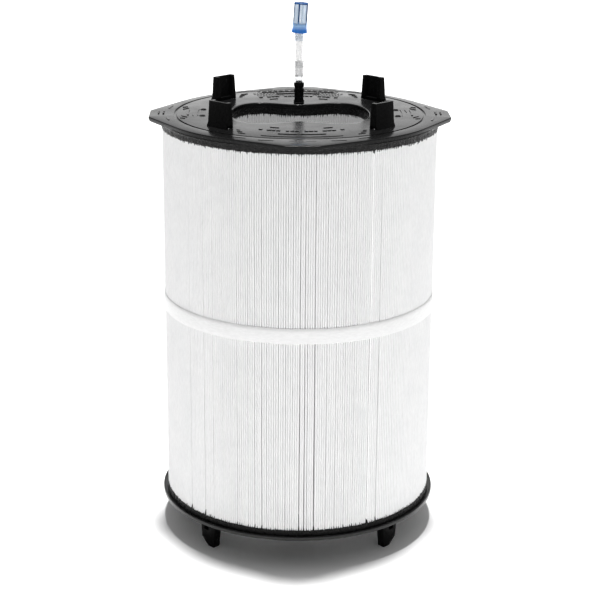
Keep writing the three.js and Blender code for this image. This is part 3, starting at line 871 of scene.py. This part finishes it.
def add_pleats():
    low, high = MEDIA_START - EMBEDDED, MEDIA_END + EMBEDDED
    mesh = to_mesh("pleats_outer", [outer_run.sheet(low, high, OPEN_VALLEYS)])
    add_piece("pleats_outer", mesh, media, "outer_pleat_pack", sharp=60)
    mesh = to_mesh("pleats_inner", [inner_run.sheet(low, high, INNER_VALLEYS)])
    add_piece("pleats_inner", mesh, inner_media_painted_light, "inner_pleat_pack", sharp=60)


add_pleats()


def seam():
    """The strip that grips both ends of the media, rolled over at its outer edge."""
    inside, outside = 164.0, MEDIA_RADIUS - 0.3
    rows = np.linspace(MEDIA_START - EMBEDDED, MEDIA_END + EMBEDDED, 40)
    section = rounded([
        (inside, -0.6), (outside - 6, -0.6), (outside - 5, -1.15), (outside, -1.15, 0.8),
        (outside, 1.15, 0.8), (outside - 5, 1.15), (outside - 6, 0.6), (inside, 0.6),
    ], 0.3)
    along = np.array([math.cos(SEAM_AZIMUTH), math.sin(SEAM_AZIMUTH)])
    across = np.array([-along[1], along[0]])
    rings = []
    for z in rows:
        lean = 0.25 * wave(z * 0.008, 4.4, 1.0)
        sink = 0.35 * abs(wave(z * 0.011, 8.2, 1.0))
        rings.append([(*(along * (r - sink) + across * (t + lean)), z) for r, t in section])
    mesh = to_mesh("seam", [capped(rings)])
    add_piece("seam_strip", mesh, seam_white, "outer_media_seam")


seam()

# ---- Potting ----


FOLD_SHARES = (0, 0.27, 0.5, 0.73)    # places between one fold's tip and the next
IN_VALLEY = 2                         # the one of them that lies in the valley


def spikes_in_valleys(gaps, seed):
    """How far the potting climbs in each valley. It climbs further in the wider ones."""
    spike = np.zeros(len(gaps) * len(FOLD_SHARES))
    usual = np.array([max(0.3, 1.8 + 5 * wave(i * 2.3, seed, 2.5)) for i in range(len(gaps))])
    spike[IN_VALLEY::len(FOLD_SHARES)] = usual + np.clip((gaps - 0.75) * 4.5, 0, 7)
    return spike


def ragged_ring(run, valleys, room, depth, cap_level, edge_level, seed):
    """Poured potting: it stands round the folds, and its free edge climbs the valleys in spikes."""
    up = 1 if edge_level > cap_level else -1
    height = abs(edge_level - cap_level)
    tips = run.points + run.tangents * run.drift(edge_level, valleys)[:, None]
    after = np.roll(tips, -1, 0)
    line = [tips[:, None] + (after - tips)[:, None] * share for share in FOLD_SHARES]
    line = np.concatenate(line, axis=1).reshape(-1, 2)
    normals = normals_of(line)
    number = np.arange(len(line))
    coarse = np.array([wave(i * 0.045, seed, 1.5) for i in number])
    fine = np.array([wave(i * 0.61, seed, 7.5) for i in number])
    pimple = np.array([wave(i * 0.37, seed, 4.5) for i in number])
    edge = height + 0.4 * coarse + 1.1 * fine
    spike = spikes_in_valleys(np.linalg.norm(after - tips, axis=1) - 2 * run.half_front, seed)
    in_valley = number % len(FOLD_SHARES) == IN_VALLEY
    around = 0.5 * np.maximum(np.roll(spike, 1), np.roll(spike, -1)) * ~in_valley
    profile = [
        (-depth, 0), (room, 0), (room - 0.1 + 0.2 * pimple, 1.5),
        (room - 0.4 + 0.9 * fine, height * 0.45), (room - 0.4 + 0.9 * pimple, edge - 1.8),
        (room - 0.6 + 0.6 * fine, edge - 0.6 + 0.4 * spike), (room * 0.35, edge + 0.7 * spike),
        (-0.5, edge + 0.3 + 0.8 * spike + 0.4 * around), (-1.5, edge + 0.3 + spike + around),
        (-4, edge + 0.2 + 0.7 * (spike + around)), (-min(12, depth * 0.8), edge - 1), (-depth, edge - 1),
    ]
    rings = []
    for ahead, rise in profile:
        ahead = np.broadcast_to(ahead, number.shape)
        offset = run.front + run.out * np.minimum(ahead, room)
        plan = line + normals * offset[:, None]
        level = cap_level + up * np.broadcast_to(rise, number.shape)
        rings.append(np.column_stack([plan, level]))
    return loft(rings)


def add_potting():
    deep = MEDIA_RADIUS - CORE_RADIUS - 1
    levels = {"bottom": (BOTTOM_TOP + 0.1, MEDIA_START), "top": (TOP_START - 0.1, MEDIA_END)}
    for seed, (end, (cap_level, edge_level)) in enumerate(levels.items()):
        outer = ragged_ring(outer_run, OPEN_VALLEYS, 1.6, deep, cap_level, edge_level, seed + 0.3)
        mesh = to_mesh("potting", [outer])
        add_piece(f"potting_outer_{end}", mesh, potting, f"outer_potting_{end}", sharp=70)
        inner = ragged_ring(inner_run, INNER_VALLEYS, 1.0, 12, cap_level, edge_level, seed + 10.3)
        mesh = to_mesh("potting", [inner])
        add_piece(f"potting_inner_{end}", mesh, potting, f"inner_potting_{end}", sharp=70)


add_potting()

# ---- Support cores ----


def cores():
    """Two moulded tubes with rows of openings, which hold the pleats apart from the clean water."""
    low, high = BOTTOM_TOP + 0.3, TOP_START - 0.3
    rows, columns = 45, 128
    levels = np.linspace(low, high, rows + 1)
    levels[1::2] += 1.5
    levels[2:-1:2] -= 1.5

    def is_open(row, column):
        return row % 2 == 1 and row < rows - 1 and column % 2 == 1

    angles = ring_angles(columns)
    angles[1::2] -= 0.012
    plan = np.column_stack([np.cos(angles), np.sin(angles)])
    outer = lattice(plan * CORE_RADIUS, plan * (CORE_RADIUS - 3), levels, is_open)
    mesh = to_mesh("core", [outer])
    add_piece("core_outer", mesh, core_white, "outer_support_core")
    points, normals = by_arc(HOLE, 96)
    inner = lattice(points + normals * 17, points + normals * 14.5, levels, is_open)
    mesh = to_mesh("core", [inner])
    add_piece("core_inner", mesh, core_white, "inner_support_core")


cores()

# ---- Band ----

OVERLAP_AT = math.radians(118)


def band():
    """A thin strap round the pleats, drawn in at its upper edge. It overlaps at the back."""
    angles = ring_angles(1080)
    inside = MEDIA_RADIUS + 0.06
    outside = band_high.x
    away = np.abs((angles - OVERLAP_AT + math.pi) % (2 * math.pi) - math.pi)
    lap = 0.55 / (1 + np.exp((away - 0.075) * 260))
    ripple = np.array([0.20 * wave(a * 60, 2.2, 0.7) + 0.30 * wave(a * 7, 5.2, 0.7) for a in angles])
    edge = np.array([0.5 * wave(a * 5, 1.2, 3.7) for a in angles])
    low, high = band_low.z, band_high.z
    section = rounded([
        (inside, low), (outside, low), (outside, high - 4, 3), (inside + 0.12, high, 0.1),
        (inside, high, 0.02),
    ], 0.35)
    middle = (low + high) / 2
    rings = []
    for radius, z in section:
        bow = 0.25 * (1 - abs(z - middle) / (middle - low))
        share = min(max((radius - inside) / (outside - inside), 0), 1)
        grow = share * (lap + ripple * 0.6 + bow) + (1 - share) * 0.2 * np.abs(ripple)
        rings.append(ring(radius + grow, z + edge, angles))
    mesh = to_mesh("strap", [loft(rings)])
    add_piece("strap", mesh, band_white, "mid_band")


band()

# ---- Air bleed ----

# Heights in these profiles are measured from the top cap's face.
fitting_low, fitting_high = box_mm("bleed_fitting")
BLEED_AXIS = (0, (fitting_low.y + fitting_high.y) / 2)
HOSE_RADIUS = 7.8
TUBE_RADIUS = 6.8
TUBE_SEAT = 7.1            # the inside of what grips the tube
HOSE_TOP = 61


def turned(profile):
    """A profile measured from the plate, turned round the bleed's axis."""
    return lathe([(radius, z + TOP_FACE) for radius, z in profile], centre=BLEED_AXIS)


def air_fitting():
    body = rounded([
        (3.2, -12, 0), (5.6, -12), (5.6, 1.8, 0), (9, 1.8), (9, 3.5, 0.6), (7.8, 4.5), (7.8, 9.5, 0.2),
        (7.3, 10, 0.2), (7.3, 11, 0.2), (7.8, 11.5, 0.2), (7.8, 19), (9, 20), (9, 23), (7.5, 24),
        (7.5, 27), (8.9, 28), (8.9, 34, 0.8),
        (5.4, 34, 0.1), (5.6, 35.2, 0.1), (5.1, 37, 0.3), (3.2, 37, 0.2),
    ], 0.4)
    flats = []
    for k in range(6):
        turn = k * math.pi / 3
        x, y = polar(7.6, turn)
        place = (BLEED_AXIS[0] + x, BLEED_AXIS[1] + y, TOP_FACE + 2.9)
        flats.append(block((2.6, 5.6, 2.0), place, turn, 0.4))
    mesh = to_mesh("fitting", [turned(body), *flats])
    add_piece("air_fitting", mesh, post_black, "bleed_fitting")
    gasket = to_mesh("gasket", [pipe(5.9, 9.0, TOP_FACE + 0.15, TOP_FACE + 1.6, 0.5, BLEED_AXIS)])
    add_piece("air_gasket", gasket, seal, "bleed_gasket")


def hose_and_collar():
    hose = rounded([
        (5.8, 34.3), (HOSE_RADIUS, 34.3), (HOSE_RADIUS, HOSE_TOP, 0.5), (TUBE_SEAT, HOSE_TOP, 0.1),
        (TUBE_SEAT, 44.7, 0.2), (5.8, 44.7, 0.2),
    ], 0.3)
    mesh = to_mesh("hose", [turned(hose)])
    add_piece("soft_hose", mesh, hose_clear, "bleed_hose", "hose")
    collar = rounded([
        (TUBE_SEAT, 61.3), (9.1, 61.3, 0.7), (9.1, 64.6, 0.3), (8.8, 65, 0.2), (8.8, 66.4, 0.2),
        (9.1, 66.8, 0.3), (9.1, 70.5, 0.9), (TUBE_SEAT, 70.5),
    ], 0.3)
    mesh = to_mesh("collar", [turned(collar)])
    add_piece("hose_collar", mesh, collar_clear, "bleed_collar", "hose")


def tube_and_sleeve():
    low, high = box_mm("bleed_tube")
    mesh = to_mesh("tube", [pipe(5.2, TUBE_RADIUS, low.z, high.z, 0.4, BLEED_AXIS)])
    add_piece("riser_tube", mesh, tube_clear, "bleed_tube", "tube")
    low, high = box_mm("strainer_bushing")
    mesh = to_mesh("sleeve", [pipe(TUBE_SEAT, 7.6, low.z, high.z, 0.2, BLEED_AXIS)])
    add_piece("riser_sleeve", mesh, sleeve_clear, "strainer_bushing", "tube")


air_fitting()
hose_and_collar()
tube_and_sleeve()

# ---- Strainer ----

# Its heights are measured from its own lower end, along its leaning axis.
STRAINER_LEAN = math.radians(3.6)
STRAINER_START = 119.2
STRAINER_HEIGHT = 50.8
STRAINER_BASE = 13
STRAINER_RADIUS = 12.2
STRAINER_FLANGE = 13.3
CAGE_START = STRAINER_BASE + 0.3
LID_START = STRAINER_HEIGHT - 2.6
RIBS = 4
RIB_TURN = math.radians(29)
WIRES_AROUND = 54
WIRES_HIGH = 36
STRAINER_PLACE = (Matrix.Translation((*BLEED_AXIS, TOP_FACE + STRAINER_START))
                  @ Matrix.Rotation(STRAINER_LEAN, 4, "Y"))


def strainer_base():
    wide, narrow = STRAINER_RADIUS, STRAINER_RADIUS - 0.3
    base = rounded([
        (7.7, 0), (STRAINER_FLANGE, 0, 0.5), (STRAINER_FLANGE, 2.5, 1.2), (wide, 8, 1.0),
        (wide, 9.4, 0.2), (narrow, 9.8, 0.2), (narrow, 10.4, 0.2), (wide, 10.8, 0.2),
        (wide, STRAINER_BASE), (7.7, STRAINER_BASE),
    ], 0.4)
    grips = [block((0.8, 1.6, 2.2), (*polar(12.9, a), 1.4), a, 0.3) for a in ring_angles(18)]
    mesh = to_mesh("base", [lathe(base), *grips], STRAINER_PLACE)
    add_piece("strainer_foot", mesh, blue_base, "strainer_base", "strainer")


def strainer_cage():
    top = STRAINER_HEIGHT
    lid = rounded([
        (0, LID_START, 0), (STRAINER_RADIUS, LID_START, 0.3), (STRAINER_RADIUS, top - 1.3, 0.8),
        (STRAINER_RADIUS - 1.6, top, 0.8), (5, top, 0.3), (4.4, top - 0.6, 0.3), (0, top - 0.6, 0),
    ], 0.4)
    parts = [lathe(lid), pipe(10.5, STRAINER_RADIUS - 0.1, CAGE_START, CAGE_START + 2, 0.3)]
    height = LID_START + 1 - CAGE_START
    for k in range(RIBS):
        turn = (k + 0.5) * math.pi / 2 + RIB_TURN
        place = (*polar(11.2, turn), CAGE_START + height / 2)
        parts.append(block((1.4, 2.2, height), place, turn, 0.35))
    mesh = to_mesh("cage", parts, STRAINER_PLACE)
    add_piece("strainer_frame", mesh, blue_cage, "strainer_cage", "strainer")


def strainer_screen():
    angles = ring_angles(2 * WIRES_AROUND)
    angles[1::2] -= 0.03
    plan = np.column_stack([np.cos(angles), np.sin(angles)])
    levels = np.linspace(CAGE_START, LID_START - 0.2, 2 * WIRES_HIGH)
    levels[1:-1:2] -= 0.12

    def is_open(row, column):
        return row % 2 == 1 and column % 2 == 1

    mesh = to_mesh("screen", [lattice(plan * 10.1, plan * 9.7, levels, is_open)], STRAINER_PLACE)
    add_piece("strainer_mesh", mesh, screen, "strainer_screen", "strainer")


strainer_base()
strainer_cage()
strainer_screen()

# ---- Outlets ----


SPIGOT_BORE = 17.5
SEAL_THICKNESS = 1.9       # radius of an O-ring's section


def outlet(side):
    low, high = box_mm(f"outlet_spigot_{side}")
    centre = (0, (low.y + high.y) / 2)
    end = low.z
    seal_low, seal_high = box_mm(f"outlet_seal_{side}")
    groove_low, groove_high = seal_low.z - 0.3, seal_high.z + 0.3
    flange = BOTTOM_TOP + 0.3
    profile = rounded([
        (SPIGOT_BORE, end, 1.2), (20.5, end, 0.6), (SPIGOT_RADIUS, end + 1.5, 0.6),
        (SPIGOT_RADIUS, groove_low, 0.3), (19.8, groove_low, 0.3), (19.8, groove_high, 0.3),
        (SPIGOT_RADIUS, groove_high, 0.3), (SPIGOT_RADIUS, groove_high + 6, 0),
        (SPIGOT_RADIUS, flange, 0.3), (27, flange, 0.5), (27, flange + 3, 0.6),
        (SPIGOT_BORE, flange + 3, 0.8),
    ])
    mesh = to_mesh("spigot", [lathe(profile, 96, centre)])
    add_piece(f"spigot_{side}", mesh, ring_black, f"outlet_spigot_{side}")
    middle = (seal_low.z + seal_high.z) / 2
    section = [(SPIGOT_RADIUS + SEAL_THICKNESS * math.cos(a), middle + SEAL_THICKNESS * math.sin(a))
               for a in ring_angles(16)]
    mesh = to_mesh("seal", [lathe(section, 96, centre)])
    add_piece(f"o_ring_{side}", mesh, seal, f"outlet_seal_{side}")


outlet("front")
outlet("rear")

# ---- Floor and light ----

FLOOR_SIZE = 80
WORLD_SIDES = 0.20       # brightness of the studio all round, at the horizon
WORLD_FRONT = 1.95       # added low down behind the camera
WORLD_FRONT_CURVE = 7    # how soon that fades upwards
WORLD_BACK = 1.30        # added behind the cartridge
WORLD_BACK_SPREAD = 10   # how soon that fades towards the sides
WORLD_FRONT_SPREAD = 3   # the same for the front
WORLD_RIGHT = 0.14       # added towards +X and taken off towards -X
WORLD_ABOVE = 0.5        # brightness overhead
WORLD_ABOVE_CURVE = 2.5  # how late it takes over from the horizon
KEY_LIGHT = 5.4          # a soft beam that comes nearly straight down
KEY_ANGLE = 6            # degrees across
KEY_DIRECTION = (-0.008, -0.066, -1)


def floor():
    bpy.ops.mesh.primitive_plane_add(size=FLOOR_SIZE)
    plane = bpy.context.object
    plane.name = "floor"
    material, tree, shader = new_material("floor", Roughness=0.8)
    paper = noise_in(tree, 3, 3)
    tree.links.new(ramp(tree, paper, (0.905,) * 3, (0.915,) * 3), shader.inputs["Base Color"])
    plane.data.materials.append(material)


def calculate(tree, operation, first, second):
    """A number worked out from two others, each a number or a socket."""
    node = tree.nodes.new("ShaderNodeMath")
    node.operation = operation
    for socket, value in zip(node.inputs, (first, second)):
        if isinstance(value, (int, float)):
            socket.default_value = value
        else:
            tree.links.new(value, socket)
    return node.outputs[0]


def world_light():
    """A studio that is bright low behind the camera and behind the cartridge, and dimmer overhead."""
    world = bpy.data.worlds.new("studio")
    bpy.context.scene.world = world
    world.use_nodes = True
    tree = world.node_tree
    place = tree.nodes.new("ShaderNodeTexCoord")
    parts = tree.nodes.new("ShaderNodeSeparateXYZ")
    tree.links.new(place.outputs["Generated"], parts.inputs["Vector"])
    along, up = parts.outputs["Y"], parts.outputs["Z"]
    behind = calculate(tree, "POWER", spread(tree, along, 0, 1, -1, 1), WORLD_BACK_SPREAD)
    ahead = calculate(tree, "POWER", spread(tree, along, 1, 0, -1, 1), WORLD_FRONT_SPREAD)
    low = calculate(tree, "POWER", spread(tree, up, 1, 0, 0, 1), WORLD_FRONT_CURVE)
    climb = calculate(tree, "POWER", spread(tree, up, 0, 1, 0, 1), WORLD_ABOVE_CURVE)
    level = calculate(tree, "MULTIPLY", behind, WORLD_BACK)
    level = calculate(tree, "ADD", level, calculate(tree, "MULTIPLY", parts.outputs["X"], WORLD_RIGHT))
    level = calculate(tree, "ADD", level, WORLD_SIDES)
    front = calculate(tree, "MULTIPLY", calculate(tree, "MULTIPLY", ahead, low), WORLD_FRONT)
    mix = tree.nodes.new("ShaderNodeMix")
    tree.links.new(climb, mix.inputs["Factor"])
    tree.links.new(calculate(tree, "ADD", level, front), mix.inputs["A"])
    mix.inputs["B"].default_value = WORLD_ABOVE
    sky = tree.nodes["Background"]
    sky.inputs["Color"].default_value = (1, 1, 1, 1)
    tree.links.new(mix.outputs["Result"], sky.inputs["Strength"])


def lights():
    world_light()
    lamp = bpy.data.lights.new("key_light", "SUN")
    lamp.energy = KEY_LIGHT
    lamp.angle = math.radians(KEY_ANGLE)
    key = bpy.data.objects.new("key_light", lamp)
    key.rotation_euler = Vector(KEY_DIRECTION).to_track_quat("-Z", "Y").to_euler()
    key.location = (0, 0, 3)
    bpy.context.collection.objects.link(key)


floor()
lights()
bpy.context.scene.view_settings.view_transform = "Standard"
